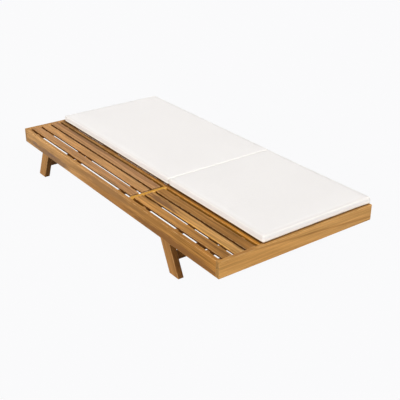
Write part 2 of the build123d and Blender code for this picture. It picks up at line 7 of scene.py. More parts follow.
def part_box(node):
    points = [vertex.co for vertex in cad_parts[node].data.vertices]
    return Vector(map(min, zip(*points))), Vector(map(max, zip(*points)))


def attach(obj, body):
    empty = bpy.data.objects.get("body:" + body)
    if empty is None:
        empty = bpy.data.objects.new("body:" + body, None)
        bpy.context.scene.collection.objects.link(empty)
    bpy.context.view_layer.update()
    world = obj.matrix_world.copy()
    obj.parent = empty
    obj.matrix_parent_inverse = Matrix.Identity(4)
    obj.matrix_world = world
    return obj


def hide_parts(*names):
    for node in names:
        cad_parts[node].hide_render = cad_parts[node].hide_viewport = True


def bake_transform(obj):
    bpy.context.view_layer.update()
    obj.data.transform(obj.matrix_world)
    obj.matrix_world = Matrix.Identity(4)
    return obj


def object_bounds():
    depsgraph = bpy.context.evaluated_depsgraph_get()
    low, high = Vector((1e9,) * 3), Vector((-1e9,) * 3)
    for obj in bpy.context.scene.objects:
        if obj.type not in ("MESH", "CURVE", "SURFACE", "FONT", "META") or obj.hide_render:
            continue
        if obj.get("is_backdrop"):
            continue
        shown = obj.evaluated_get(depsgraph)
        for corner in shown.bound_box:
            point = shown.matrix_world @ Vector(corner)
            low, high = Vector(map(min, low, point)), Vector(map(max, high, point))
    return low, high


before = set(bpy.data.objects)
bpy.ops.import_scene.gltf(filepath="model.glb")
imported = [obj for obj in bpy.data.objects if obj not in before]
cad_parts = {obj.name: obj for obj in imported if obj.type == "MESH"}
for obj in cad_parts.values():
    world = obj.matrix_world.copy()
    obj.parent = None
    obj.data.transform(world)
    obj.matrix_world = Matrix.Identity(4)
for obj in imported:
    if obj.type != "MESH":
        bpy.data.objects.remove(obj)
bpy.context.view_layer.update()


# The end rails are the two boards across the head and the foot; they cover the long boards' ends.
# They are planed acacia, 21 mm thick and 85 mm high, with eased arrises and an oiled face.
# Dowels and corner blocks hold them to the side rails and the middle beam.
def tone(red, green, blue):
    """A colour as it shows on the wood or cloth, in steps of 255, as the shader's linear colour."""
    shares = [value / 255 for value in (red, green, blue)]
    return [v / 12.92 if v <= 0.04045 else ((v + 0.055) / 1.055) ** 2.4 for v in shares] + [1.0]


def fit(tree, kind, made, fed):
    """Puts a shader node in a tree, sets it up, and feeds its sockets values or nodes' outputs."""
    new = tree.nodes.new("ShaderNode" + kind)
    for key, value in made.items():
        setattr(new, key, value)
    for key, value in fed.items():
        if isinstance(value, bpy.types.NodeSocket):
            tree.links.new(value, new.inputs[key])
        else:
            new.inputs[key].default_value = value
    return new


def reckon(tree, way, *values):
    """A sum, product or the like of sockets and numbers."""
    return fit(tree, "Math", {"operation": way}, dict(enumerate(values))).outputs[0]


def shift(tree, way, *places):
    """The same for places and sizes, which have three parts."""
    return fit(tree, "VectorMath", {"operation": way}, dict(enumerate(places))).outputs[0]


def split(tree, place):
    """The three parts of a place or a size."""
    return fit(tree, "SeparateXYZ", {}, {0: place}).outputs


def distance(tree, place):
    """How far a place lies from the middle."""
    return fit(tree, "VectorMath", {"operation": "LENGTH"}, {0: place}).outputs["Value"]


def swing(tree, value):
    """A variation between 0 and 1 as a swing to both sides of 0."""
    return reckon(tree, "SUBTRACT", value, 0.5)


def ease(tree, value, low, high, start=0.0, end=1.0):
    """A soft step from start to end as the value goes from low to high."""
    made = {"interpolation_type": "SMOOTHSTEP"}
    fed = {"Value": value, "From Min": low, "From Max": high, "To Min": start, "To Max": end}
    return fit(tree, "MapRange", made, fed).outputs[0]


def cloud(tree, place, closeness, start, detail, rough=0.5):
    """Cloudy variation, as close along each axis as asked: a value, and a colour for three."""
    moved = shift(tree, "ADD", shift(tree, "MULTIPLY", place, closeness), start)
    fed = {"Vector": moved, "Scale": 1.0, "Detail": detail, "Roughness": rough}
    return fit(tree, "TexNoise", {}, fed).outputs


def blend_tones(tree, share, first, second, way="MIX"):
    """Two colours mixed by a share."""
    made = {"data_type": "RGBA", "blend_type": way}
    return fit(tree, "Mix", made, {0: share, 6: first, 7: second}).outputs[2]


def new_effect(name, taken, given):
    """An empty shader group with named inputs and outputs."""
    tree = bpy.data.node_groups.new(name, "ShaderNodeTree")
    for label, kind, value in taken:
        socket = tree.interface.new_socket(label, in_out="INPUT", socket_type="NodeSocket" + kind)
        if value is not None:
            socket.default_value = value
    for label, kind in given:
        tree.interface.new_socket(label, in_out="OUTPUT", socket_type="NodeSocket" + kind)
    return tree, tree.nodes.new("NodeGroupInput").outputs, tree.nodes.new("NodeGroupOutput").inputs


def make_board_grain():
    """Sawn grain: rings round a wandering pith, heartwood, fibres, pores and darker end grain, and
    darker side faces, which are painted shade on slats and legs and a darker planed tone on rails.
    """
    tree, get, give = new_effect(
        "board_grain",
        [
            ("Board place", "Vector", None),
            ("Pale", "Color", tone(205, 158, 100)),
            ("Deep", "Color", tone(168, 120, 68)),
            ("Heart", "Color", tone(130, 92, 62)),
            ("Foot tint", "Color", (1, 1, 1, 1)),
            ("Head tint", "Color", (1, 1, 1, 1)),
            ("Half size", "Vector", (1, 1, 1)),
            ("Ring spacing", "Float", 0.006),
            ("Ring strength", "Float", 0.16),
            ("Pith across", "Float", 0.0),
            ("Pith depth", "Float", 0.05),
            ("Pith slope", "Float", 0.0),
            ("Heart across", "Float", 0.0),
            ("Heart width", "Float", 0.01),
            ("Heart slope", "Float", 0.0),
            ("Heart share", "Float", 0.0),
            ("Streaks", "Float", 0.22),
            ("Edge tone and painted shade", "Float", 0.0),
            ("Cut", "Vector", (0, 0, 0)),
        ],
        [("Color", "Color"), ("Roughness", "Float"), ("Height", "Float")],
    )
    pith_sway, broad_sway, band_contrast = 0.022, 0.03, 1.7
    coarse_streak, pore_shade, end_shade = 3.6, 0.13, 0.3
    edge_tone_and_painted_shade = (0.38, 0.26, 0.11, 1)
    place, cut = get["Board place"], get["Cut"]
    axes, halves = split(tree, place), split(tree, get["Half size"])
    wander = split(tree, cloud(tree, place, (2.2, 0, 0), cut, 2)["Color"])
    drift = reckon(tree, "MULTIPLY", axes[0], get["Pith slope"])
    pith = []
    for number, label in ((1, "Pith across"), (2, "Pith depth")):
        swayed = reckon(tree, "MULTIPLY_ADD", wander[number], pith_sway, -pith_sway / 2)
        away = reckon(tree, "ADD", axes[number], get[label])
        pith.append(reckon(tree, "ADD", away, swayed))
    pith[0] = reckon(tree, "ADD", pith[0], drift)
    radius = distance(tree, fit(tree, "CombineXYZ", {}, {1: pith[0], 2: pith[1]}).outputs[0])
    ripple = cloud(tree, place, (5, 60, 60), cut, 3)[0]
    ring = reckon(tree, "DIVIDE", radius, get["Ring spacing"])
    ring = reckon(tree, "MULTIPLY_ADD", ripple, 0.7, ring)
    step = reckon(tree, "FRACT", ring, 0)
    rising, falling = ease(tree, step, 0.35, 0.9), ease(tree, step, 0.9, 1.0, 1.0, 0.0)
    late = reckon(tree, "MULTIPLY", rising, falling)
    year = reckon(tree, "MULTIPLY", ring, 0.43)
    years = fit(tree, "TexNoise", {"noise_dimensions": "1D"}, {"W": year}).outputs[0]
    broad = cloud(tree, place, (1.2, 17, 17), cut, 2)[0]
    stripe = cloud(tree, place, (3.4, 90, 90), cut, 3, 0.66)[0]
    fibre = cloud(tree, place, (7, 330, 330), cut, 4, 0.62)[0]
    pores = ease(tree, cloud(tree, place, (38, 1500, 1500), cut, 1)[0], 0.6, 0.7)

    band = reckon(tree, "MULTIPLY_ADD", swing(tree, years), band_contrast, 0.5)
    share = reckon(tree, "MULTIPLY_ADD", swing(tree, broad), band_contrast, band)
    share = fit(tree, "Clamp", {}, {0: share}).outputs[0]
    colour = blend_tones(tree, share, get["Pale"], get["Deep"])
    slope = reckon(tree, "MULTIPLY", axes[0], get["Heart slope"])
    line = reckon(tree, "ADD", get["Heart across"], slope)
    line = reckon(tree, "MULTIPLY_ADD", swing(tree, broad), broad_sway, line)
    aside = reckon(tree, "ABSOLUTE", reckon(tree, "SUBTRACT", axes[1], line), 0)
    aside = reckon(tree, "DIVIDE", aside, get["Heart width"])
    heart = reckon(tree, "MULTIPLY", ease(tree, aside, 0.55, 1.35, 1.0, 0.0), get["Heart share"])
    colour = blend_tones(tree, heart, colour, get["Heart"])
    along = reckon(tree, "DIVIDE", axes[0], halves[0])
    tint = blend_tones(tree, ease(tree, along, -1.0, 1.0), get["Foot tint"], get["Head tint"])
    colour = blend_tones(tree, 1.0, colour, tint, "MULTIPLY")

    # The faces at the board's sides across it are darkened: on the slats and legs this is painted
    # shade, for the dark gaps and the shade under the deck; on the rails it is a darker tone of the
    # planed top and bottom.
    sawn = []
    for axis, half in ((axes[0], halves[0]), (axes[1], halves[1])):
        depth = reckon(tree, "SUBTRACT", half, reckon(tree, "ABSOLUTE", axis, 0))
        sawn.append(ease(tree, depth, 0.0004, 0.002, 1.0, 0.0))
    end_grain, edge = sawn[0], reckon(tree, "MULTIPLY", sawn[1], get["Edge tone and painted shade"])
    colour = blend_tones(tree, edge, colour, edge_tone_and_painted_shade, "MULTIPLY")
    streak = reckon(tree, "MULTIPLY_ADD", swing(tree, stripe), coarse_streak, swing(tree, fibre))
    bright = reckon(tree, "MULTIPLY_ADD", streak, get["Streaks"], 1.0)
    rings = reckon(tree, "MULTIPLY", late, get["Ring strength"])
    bright = reckon(tree, "SUBTRACT", bright, rings)
    bright = reckon(tree, "MULTIPLY_ADD", pores, -pore_shade, bright)
    bright = reckon(tree, "MULTIPLY_ADD", end_grain, -end_shade, bright)
    fed = {"Value": bright, "Color": colour, "Saturation": 1.0}
    tree.links.new(fit(tree, "HueSaturation", {}, fed).outputs[0], give["Color"])
    rough = reckon(tree, "MULTIPLY_ADD", fibre, 0.16, 0.44)
    rough = reckon(tree, "MULTIPLY_ADD", pores, 0.12, rough)
    tree.links.new(reckon(tree, "MULTIPLY_ADD", end_grain, 0.15, rough), give["Roughness"])
    height = reckon(tree, "MULTIPLY_ADD", late, -0.35, reckon(tree, "MULTIPLY", fibre, 0.7))
    tree.links.new(reckon(tree, "MULTIPLY_ADD", pores, -0.5, height), give["Height"])
    return tree


def make_arris_wear_and_highlight():
    """Where two faces of a squared board meet, the eased edge is rubbed a little paler, with a
    painted highlight along it.
    """
    tree, get, give = new_effect(
        "arris_wear_and_highlight",
        [
            ("Board place", "Vector", None),
            ("Half size", "Vector", (1, 1, 1)),
            ("Color", "Color", None),
            ("Wear and highlight", "Float", 0.3),
        ],
        [("Color", "Color")],
    )
    place, rubbed_and_lit = get["Board place"], tone(238, 196, 138)
    flat = shift(tree, "ABSOLUTE", place)
    depth = split(tree, shift(tree, "SUBTRACT", get["Half size"], flat))
    near = [ease(tree, depth[i], 0.0002, 0.003, 1.0, 0.0) for i in range(3)]
    pairs = [reckon(tree, "MULTIPLY", near[i], near[(i + 1) % 3]) for i in range(3)]
    edge = reckon(tree, "MAXIMUM", reckon(tree, "MAXIMUM", pairs[0], pairs[1]), pairs[2])
    broken = ease(tree, cloud(tree, place, (45, 45, 45), (3, 1, 4), 3)[0], 0.3, 0.62)
    share = reckon(tree, "MULTIPLY", reckon(tree, "MULTIPLY", edge, broken), get["Wear and highlight"])
    tree.links.new(blend_tones(tree, share, get["Color"], rubbed_and_lit), give["Color"])
    return tree


def make_grey_smudge():
    """A smoky mark that heartwood and small knots leave along the grain."""
    tree, get, give = new_effect(
        "grey_smudge",
        [
            ("Board place", "Vector", None),
            ("Middle", "Vector", (0, 0, 0)),
            ("Reach", "Vector", (0.1, 0.02, 0.05)),
            ("Color", "Color", None),
            ("Smoke", "Color", tone(120, 92, 80)),
            ("Share", "Float", 0.6),
        ],
        [("Color", "Color")],
    )
    place, raggedness = get["Board place"], 1.3
    away = shift(tree, "SUBTRACT", place, get["Middle"])
    radius = distance(tree, shift(tree, "DIVIDE", away, get["Reach"]))
    ragged = cloud(tree, place, (14, 120, 120), (7, 2, 5), 3)[0]
    radius = reckon(tree, "MULTIPLY_ADD", swing(tree, ragged), raggedness, radius)
    mark = reckon(tree, "MULTIPLY", ease(tree, radius, 0.45, 1.05, 1.0, 0.0), get["Share"])
    tree.links.new(blend_tones(tree, mark, get["Color"], get["Smoke"]), give["Color"])
    return tree


def make_soft_patch():
    """A tone laid over part of a piece, inside a box with soft sides."""
    # Its default tone is the dark painted shade that the rails take along the cushion.
    tree, get, give = new_effect(
        "soft_patch",
        [
            ("Place", "Vector", None),
            ("Low", "Vector", (0, 0, 0)),
            ("High", "Vector", (1, 1, 1)),
            ("Soft", "Float", 0.004),
            ("Color", "Color", None),
            ("Patch", "Color", tone(60, 34, 8)),
            ("Share", "Float", 0.7),
        ],
        [("Color", "Color")],
    )
    share = get["Share"]
    for start, end in ((get["Low"], get["Place"]), (get["Place"], get["High"])):
        for depth in split(tree, shift(tree, "SUBTRACT", end, start)):
            share = reckon(tree, "MULTIPLY", share, ease(tree, depth, 0.0, get["Soft"]))
    tree.links.new(blend_tones(tree, share, get["Color"], get["Patch"]), give["Color"])
    return tree


board_grain, arris_wear_and_highlight = make_board_grain(), make_arris_wear_and_highlight()
grey_smudge, soft_patch = make_grey_smudge(), make_soft_patch()


def new_finish(name):
    """A new finish, with its node tree and its shader."""
    material = bpy.data.materials.new(name)
    material.use_nodes = True
    return material, material.node_tree, material.node_tree.nodes["Principled BSDF"]


def lead_in(tree, shader, colour, rough, height, relief, strength):
    """Leads a finish's colour, roughness and fine relief into its shader."""
    bump = fit(tree, "Bump", {}, {"Height": height, "Distance": relief, "Strength": strength})
    tree.links.new(colour, shader.inputs["Base Color"])
    tree.links.new(rough, shader.inputs["Roughness"])
    tree.links.new(bump.outputs[0], shader.inputs["Normal"])


def coat(piece, material):
    """Gives a piece one finish, in place of any that it had."""
    piece.data.materials.clear()
    piece.data.materials.append(material)


def oil_board(finish, board, along, across, grain, wear_and_highlight=0.45, smudges=(), half=None, line=None):
    """Oiled acacia on one board, or on a row of like boards, its grain lying along the board."""
    grain_relief, oil_shine = 0.0005, 0.05
    low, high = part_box(board)
    lengthwise, crosswise = Vector(along).normalized(), Vector(across).normalized()
    axes = (lengthwise, crosswise, lengthwise.cross(crosswise))
    half = half or [sum(abs(axis[i]) * (high - low)[i] for i in range(3)) / 2 for axis in axes]
    material, tree, shader = new_finish(finish)
    turn = Matrix(axes).transposed().to_euler()
    place = fit(tree, "TexCoord", {}, {}).outputs["Object"]
    fed = {"Vector": place, "Location": (low + high) / 2, "Rotation": turn}
    place = fit(tree, "Mapping", {"vector_type": "TEXTURE"}, fed).outputs[0]
    fed = {"Board place": place, "Half size": half, **grain}
    wood = fit(tree, "Group", {"node_tree": board_grain}, fed).outputs
    colour = wood["Color"]
    for spot, reach, smoke, share in smudges:
        fed = {"Board place": place, "Middle": spot, "Reach": reach, "Smoke": smoke, "Share": share}
        colour = fit(tree, "Group", {"node_tree": grey_smudge}, {**fed, "Color": colour}).outputs[0]
    # The arrises are rubbed paler and carry a painted highlight.
    if wear_and_highlight:
        fed = {"Board place": place, "Half size": half, "Color": colour, "Wear and highlight": wear_and_highlight}
        colour = fit(tree, "Group", {"node_tree": arris_wear_and_highlight}, fed).outputs[0]
    # The line is painted shade: a dark band standing for the cushion's contact shadow.
    if line:
        fed = {"Place": place, "Low": line[0], "High": line[1], "Color": colour}
        colour = fit(tree, "Group", {"node_tree": soft_patch}, fed).outputs[0]
    lead_in(tree, shader, colour, wood["Roughness"], wood["Height"], grain_relief, strength=0.45)
    shader.inputs["Specular IOR Level"].default_value = oil_shine
    coat(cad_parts[board], material)


along_bed, across_bed, straight_up = (0, 1, 0), (1, 0, 0), (0, 0, 1)
head_rail_grain = {
    "Pale": tone(207, 158, 95),
    "Deep": tone(186, 135, 74),
    "Heart": tone(162, 114, 62),
    "Foot tint": (0.94, 0.94, 0.97, 1),
    "Head tint": (1.06, 1.06, 1.04, 1),
    "Ring spacing": 0.007,
    "Ring strength": 0.12,
    "Pith across": 0.05,
    "Pith depth": 0.03,
    "Heart across": 0.018,
    "Heart width": 0.0055,
    "Heart slope": 0.077,
    "Heart share": 0.65,
    "Streaks": 0.3,
    "Edge tone and painted shade": 0.3,
    "Cut": (3.1, 0.4, 1.7),
}
# Painted shade: a narrow dark line, in the board's own directions, lies on the rail's top along the
# cushion as its contact shadow.
cushion_low, cushion_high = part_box("seat_cushion")
line_start, line_end = cushion_low.x - 0.003, cushion_high.x + 0.004
line_bottom, line_top, line_side, line_far = 0.038, 0.06, 0.001, 0.03
head_rail_painted_shade = ((line_start, line_bottom, -line_side), (line_end, line_top, line_far))
oil_board(
    "head_rail_wood",
    "head_end_rail",
    across_bed,
    straight_up,
    head_rail_grain,
    line=head_rail_painted_shade,
)
foot_rail_grain = {
    **head_rail_grain,
    "Deep": tone(178, 128, 80),
    "Heart share": 0.25,
    "Cut": (8.3, 2.4, 6.1),
}
oil_board("foot_rail_wood", "foot_end_rail", across_bed, straight_up, foot_rail_grain)


# The side rails are the two longest boards, one outside the shelf and one outside the bed.
# The shelf-side one is sawn near the heart: its lower half is browner, and smoky towards the foot.
# They butt against the end rails, and the legs are bolted to their inner faces.
shelf_rail_grain = {
    "Pale": tone(200, 149, 89),
    "Deep": tone(175, 127, 74),
    "Foot tint": (1.16, 1.23, 1.42, 1),
    "Head tint": (0.95, 0.85, 0.6, 1),
    "Ring spacing": 0.008,
    "Ring strength": 0.14,
    "Pith across": -0.06,
    "Pith depth": 0.02,
    "Streaks": 0.46,
    "Edge tone and painted shade": 0.2,
    "Cut": (1.3, 5.2, 0.6),
}
shelf_rail_smudges = [
    ((0.03, 0.022, 0.01), (0.42, 0.03, 0.04), tone(152, 111, 69), 0.75),
    ((-0.65, -0.026, 0.01), (0.32, 0.03, 0.04), tone(142, 107, 76), 0.9),
    ((-0.88, 0.018, 0.01), (0.22, 0.034, 0.04), tone(176, 132, 85), 0.3),
    ((-0.63, -0.012, 0.01), (0.06, 0.012, 0.04), tone(118, 92, 80), 0.6),
    ((-0.86, -0.012, 0.01), (0.05, 0.012, 0.04), tone(112, 90, 82), 0.6),
    ((0.05, -0.024, 0.01), (0.4, 0.03, 0.04), tone(160, 109, 57), 0.6),
    ((0.62, -0.024, 0.01), (0.47, 0.029, 0.04), tone(138, 94, 52), 0.9),
    ((0.42, 0.026, 0.01), (0.3, 0.03, 0.04), tone(150, 105, 54), 0.6),
    ((0.52, 0.0055, 0.01), (0.5, 0.004, 0.04), tone(190, 138, 76), 0.6),
]
oil_board(
    "shelf_rail_wood",
    "shelf_side_rail",
    along_bed,
    straight_up,
    shelf_rail_grain,
    smudges=shelf_rail_smudges,
)
bed_rail_grain = {
    **shelf_rail_grain,
    "Foot tint": (1.1, 1.1, 1.1, 1),
    "Head tint": (1, 1, 1, 1),
    "Cut": (4.7, 1.2, 8.6),
}
oil_board("bed_rail_wood", "bed_side_rail", along_bed, straight_up, bed_rail_grain)


# The middle beam runs between shelf and bed, and the cross rail divides the shelf at the fold.
# Both are the same board as the side rails, golden on top where the oil lies thicker.
# Dowels hold their ends, and the slats stop against them.
beam_grain = {
    "Pale": tone(184, 128, 54),
    "Deep": tone(162, 107, 40),
    "Foot tint": (0.58, 0.63, 1.1, 1),
    "Head tint": (1.1, 1.06, 0.82, 1),
    "Ring spacing": 0.006,
    "Pith across": 0.07,
    "Pith depth": 0.02,
    "Cut": (6.2, 3.3, 2.9),
}
# The beam's top takes the same painted shade, a dark line beside the cushion as its contact shadow.
line_reach = 0.98
beam_painted_shade = ((-line_reach, line_bottom, -line_far), (line_reach, line_top, -line_side))
oil_board("middle_beam_wood", "middle_beam", along_bed, straight_up, beam_grain, line=beam_painted_shade)
cross_rail_grain = {
    **beam_grain,
    "Pale": tone(215, 159, 66),
    "Deep": tone(183, 126, 46),
    "Foot tint": (1, 1, 1, 1),
    "Head tint": (1, 1, 1, 1),
    "Cut": (2.8, 7.7, 4.4),
}
oil_board("cross_rail_wood", "shelf_cross_rail", across_bed, straight_up, cross_rail_grain)


# The shelf has three slats on each side of the cross rail, 53 by 10 mm, level with the rails.
# No two are sawn from the same place: their tones go from pinkish brown to pale yellow.
# Screws from below hold them to the battens.
# The slats' side faces are darkened all the way as painted shade, as dark as the gaps between them.
slat_grain = {
    "Ring spacing": 0.005,
    "Ring strength": 0.17,
    "Pith depth": 0.018,
    "Streaks": 0.5,
    "Edge tone and painted shade": 1.0,
}
shelf_slats = {
    "shelf_foot_slat_1": {
        "Pale": tone(195, 147, 99),
        "Deep": tone(172, 126, 85),
        "Heart": tone(150, 110, 74),
        "Foot tint": (0.88, 0.86, 0.84, 1),
        "Heart across": -0.014,
        "Heart width": 0.012,
        "Heart share": 0.6,
        "Pith across": 0.02,
    },
    "shelf_foot_slat_2": {
        "Pale": tone(207, 157, 102),
        "Deep": tone(184, 134, 83),
        "Heart": tone(174, 124, 80),
        "Heart across": 0.02,
        "Heart width": 0.005,
        "Heart share": 0.5,
        "Pith across": -0.03,
    },
    "shelf_foot_slat_3": {
        "Pale": tone(193, 144, 94),
        "Deep": tone(171, 123, 79),
        "Heart": tone(156, 116, 84),
        "Heart across": -0.008,
        "Heart width": 0.008,
        "Heart share": 0.25,
        "Pith across": 0.05,
    },
    "shelf_head_slat_1": {
        "Pale": tone(167, 120, 66),
        "Deep": tone(143, 98, 50),
        "Heart": tone(124, 83, 38),
        "Foot tint": (1.1, 1.12, 1.12, 1),
        "Head tint": (0.97, 0.96, 0.9, 1),
        "Heart across": -0.011,
        "Heart width": 0.005,
        "Heart share": 0.4,
        "Pith across": -0.02,
    },
    "shelf_head_slat_2": {
        "Pale": tone(207, 158, 96),
        "Deep": tone(186, 137, 78),
        "Heart": tone(226, 170, 86),
        "Foot tint": (0.9, 0.85, 0.82, 1),
        "Head tint": (0.95, 0.97, 0.98, 1),
        "Heart across": 0.021,
        "Heart width": 0.004,
        "Heart share": 0.8,
        "Pith across": 0.04,
    },
    "shelf_head_slat_3": {
        "Pale": tone(186, 136, 76),
        "Deep": tone(163, 114, 58),
        "Heart": tone(150, 104, 54),
        "Foot tint": (1.12, 1.12, 1.12, 1),
        "Head tint": (0.82, 0.8, 0.78, 1),
        "Heart across": -0.012,
        "Heart width": 0.005,
        "Heart share": 0.45,
        "Pith across": -0.045,
    },
}
slat_smudges = {
    "shelf_head_slat_2": [
        ((-0.25, 0.004, 0), (0.2, 0.027, 0.02), tone(120, 85, 54), 0.9),
        ((0.35, 0.02, 0), (0.03, 0.014, 0.02), tone(150, 102, 50), 0.6),
    ],
    "shelf_foot_slat_3": [((0.37, 0.02, 0), (0.15, 0.013, 0.02), tone(132, 97, 62), 0.7)],
    "shelf_foot_slat_1": [((0.1, -0.02, 0), (0.2, 0.007, 0.02), tone(138, 100, 68), 0.4)],
}
for number, (slat, grain) in enumerate(shelf_slats.items()):
    own_grain = {**slat_grain, **grain, "Cut": (1.7 * number + 0.9, 3.1 * number, 0.8 * number)}
    marks = slat_smudges.get(slat, ())
    oil_board(slat + "_wood", slat, along_bed, across_bed, own_grain, smudges=marks)


# Nine battens cross under the fixed slats: three to each half of the shelf, and three to the seat.
# They are 21 by 28 mm sticks of plainer wood, doweled into the rails and the beam.
# The slats are screwed down from under them.
batten_grain = {
    "Pale": tone(196, 148, 92),
    "Deep": tone(166, 118, 68),
    "Ring spacing": 0.005,
    "Pith across": 0.03,
    "Pith depth": 0.04,
    "Cut": (9.4, 0.7, 5.5),
}
oil_board("shelf_batten_wood", "shelf_battens", across_bed, along_bed, batten_grain, wear_and_highlight=0)
seat_batten_grain = {**batten_grain, "Cut": (5.4, 6.7, 1.5)}
oil_board("seat_batten_wood", "seat_battens", across_bed, along_bed, seat_batten_grain, wear_and_highlight=0)


# The seat's eight slats are fixed, and the seat hinge rail closes their head end at the fold.
# They lie under the cushion, so the plainer boards went here.
# The hinge rail is doweled into the beam and the far side rail.
for number in range(1, 9):
    seat_grain = {
        **slat_grain,
        "Pale": tone(200 - 9 * (number % 3), 152 - 8 * (number % 3), 98 - 5 * (number % 2)),
        "Deep": tone(174 - 7 * (number % 2), 124 - 5 * (number % 3), 74),
        "Heart across": 0.018 - 0.006 * (number % 5),
        "Heart width": 0.005,
        "Heart share": 0.15 + 0.12 * (number % 3),
        "Pith across": 0.05 - 0.02 * (number % 4),
        "Cut": (2.3 * number, 1.1 * number, 0.4),
    }
    slat = "seat_slat_%d" % number
    oil_board(slat + "_wood", slat, along_bed, across_bed, seat_grain)
hinge_rail_heart = {"Heart share": 0.3, "Heart width": 0.006}
hinge_rail_grain = {**batten_grain, **hinge_rail_heart, "Cut": (3.6, 8.2, 0.3)}
oil_board("hinge_rail_wood", "seat_hinge_rail", across_bed, straight_up, hinge_rail_grain)


# Four legs splay towards the ends, leaning 25 degrees, each cut from a 70 by 32 mm board.
# Their feet are sawn level, and the arrises are eased as on the rails.
# Two bolts hold each one to the inner face of a side rail.
leg_lean = math.radians(25)
leg_width, leg_thickness, foot_waste = 0.07, 0.032, 0.02
# The legs' narrow faces towards the ends are darkened as painted shade, for the shadow under the
# deck.
leg_grain = {
    "Pale": tone(196, 146, 88),
    "Deep": tone(172, 120, 66),
    "Heart": tone(140, 96, 56),
    "Ring spacing": 0.006,
    "Ring strength": 0.14,
    "Pith across": 0.02,
    "Pith depth": 0.03,
    "Pith slope": 0.12,
    "Heart across": 0.02,
    "Heart width": 0.004,
    "Heart share": 0.3,
    "Streaks": 0.3,
    "Edge tone and painted shade": 0.6,
}
for number, end in enumerate(("head", "foot")):
    outward = 1 if end == "head" else -1
    for side in ("shelf", "bed"):
        leg = "%s_leg_%s_side" % (end, side)
        low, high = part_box(leg)
        upward = (0, -outward * math.sin(leg_lean), math.cos(leg_lean))
        forward = (0, math.cos(leg_lean), outward * math.sin(leg_lean))
        own_grain = {**leg_grain, "Cut": (2.9 * number + 0.7 * len(side), 4.1, 1.3 * number)}
        half_length = (high.z - low.z) / 2 / math.cos(leg_lean) + foot_waste
        leg_half = (half_length, leg_width / 2, leg_thickness / 2)
        oil_board(leg + "_wood", leg, upward, forward, own_grain, half=leg_half)


# A bar joins the two legs at each end, 44 by 21 mm, and leans with them.
# It is the same wood as the legs, its tones painted darker as shade under the deck, and dowels hold
# its ends in their inner faces.
# It keeps the legs from spreading when someone sits on the edge.
bar_painted_shade_tones = {"Pale": tone(140, 97, 52), "Deep": tone(120, 78, 38)}
bar_width, bar_thickness = 0.044, 0.021
for end in ("head", "foot"):
    outward = 1 if end == "head" else -1
    upward = (0, -outward * math.sin(leg_lean), math.cos(leg_lean))
    bar = end + "_leg_bar"
    low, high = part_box(bar)
    bar_half = ((high.x - low.x) / 2, bar_width / 2, bar_thickness / 2)
    bar_grain = {**leg_grain, **bar_painted_shade_tones, "Heart share": 0.15, "Cut": (7.3, 2.2 + outward, 3.9)}
    oil_board(bar + "_wood", bar, across_bed, upward, bar_grain, half=bar_half)


# Corner blocks stiffen the four corners, a cleat carries the head end of the flat backrest,
# and the two notched racks take the prop's feet. All are screwed to the inner faces of the frame.
# They are offcuts of the same boards, sanded but less carefully picked.
block_tones = {"Pale": tone(188, 140, 86), "Deep": tone(156, 110, 64)}
block_grain = {**batten_grain, **block_tones, "Cut": (0.6, 4.9, 7.1)}
cleat_grain = {**block_grain, "Cut": (8.8, 1.9, 0.2)}
oil_board("corner_block_wood", "corner_blocks", straight_up, across_bed, block_grain, wear_and_highlight=0)
oil_board("head_cleat_wood", "head_cleat", across_bed, straight_up, cleat_grain)
for number, rack in enumerate(("notched_rack_beam_side", "notched_rack_rail_side")):
    rack_grain = {**block_grain, "Ring spacing": 0.004, "Cut": (4.2 + number, 6.6, 2.1)}
    oil_board(rack + "_wood", rack, along_bed, straight_up, rack_grain, wear_and_highlight=0.3)


# The backrest is a ladder of two stiles, a foot rail and three battens, with eight slats on top.
# It is built like the seat, 4 mm narrower all round, so that it swings up clear of the frame.
# Hinges join its foot rail to the seat's hinge rail.
for number in range(1, 9):
    back_grain = {
        **slat_grain,
        "Pale": tone(204 - 8 * (number % 3), 155 - 7 * (number % 2), 100 - 6 * (number % 3)),
        "Deep": tone(178 - 8 * (number % 2), 128 - 6 * (number % 3), 76),
        "Heart across": -0.016 + 0.007 * (number % 5),
        "Heart width": 0.005,
        "Heart share": 0.12 + 0.14 * (number % 3),
        "Pith across": -0.04 + 0.02 * (number % 4),
        "Cut": (3.7 * number, 0.6, 1.9 * number),
    }
    slat = "backrest_slat_%d" % number
    oil_board(slat + "_wood", slat, along_bed, across_bed, back_grain)
for number, stile in enumerate(("backrest_stile_beam_side", "backrest_stile_rail_side")):
    stile_grain = {**batten_grain, "Cut": (1.9 + 3 * number, 2.6, 8.4)}
    oil_board(stile + "_wood", stile, along_bed, straight_up, stile_grain)
back_foot_grain = {**batten_grain, "Cut": (7.9, 3.8, 5.3)}
oil_board("backrest_foot_rail_wood", "backrest_foot_rail", across_bed, straight_up, back_foot_grain)
back_batten_grain = {**batten_grain, "Cut": (6, 9, 3)}
oil_board(
    "backrest_batten_wood",
    "backrest_battens",
    across_bed,
    along_bed,
    back_batten_grain,
    wear_and_highlight=0,
)


# The prop that holds the backrest up is two flat arms with a round bar glued through them.
# The arms turn on bolts through the stiles, and their lower ends drop into the racks' notches.
# They are hardwood like the rest, sanded smooth where they rub.
for number, arm in enumerate(("prop_arm_beam_side", "prop_arm_rail_side")):
    cut = {"Ring spacing": 0.004, "Cut": (0.4, 5.1 * number, 6.3)}
    arm_grain = {**batten_grain, "Pale": tone(206, 158, 104), **cut}
    oil_board(arm + "_wood", arm, along_bed, straight_up, arm_grain, wear_and_highlight=0)
prop_bar_tones = {"Pale": tone(214, 170, 118), "Deep": tone(190, 144, 92)}
prop_bar_grain = {**batten_grain, **prop_bar_tones, "Cut": (2.2, 2.2, 9.1)}
oil_board("prop_bar_wood", "prop_bar", across_bed, straight_up, prop_bar_grain, wear_and_highlight=0)
dowel_tones = {"Pale": tone(222, 188, 142), "Deep": tone(204, 168, 122)}
dowel_grain = {**dowel_tones, "Ring strength": 0.06, "Cut": (5, 5, 5)}
oil_board("dowel_wood", "joint_dowels", across_bed, straight_up, dowel_grain, wear_and_highlight=0)


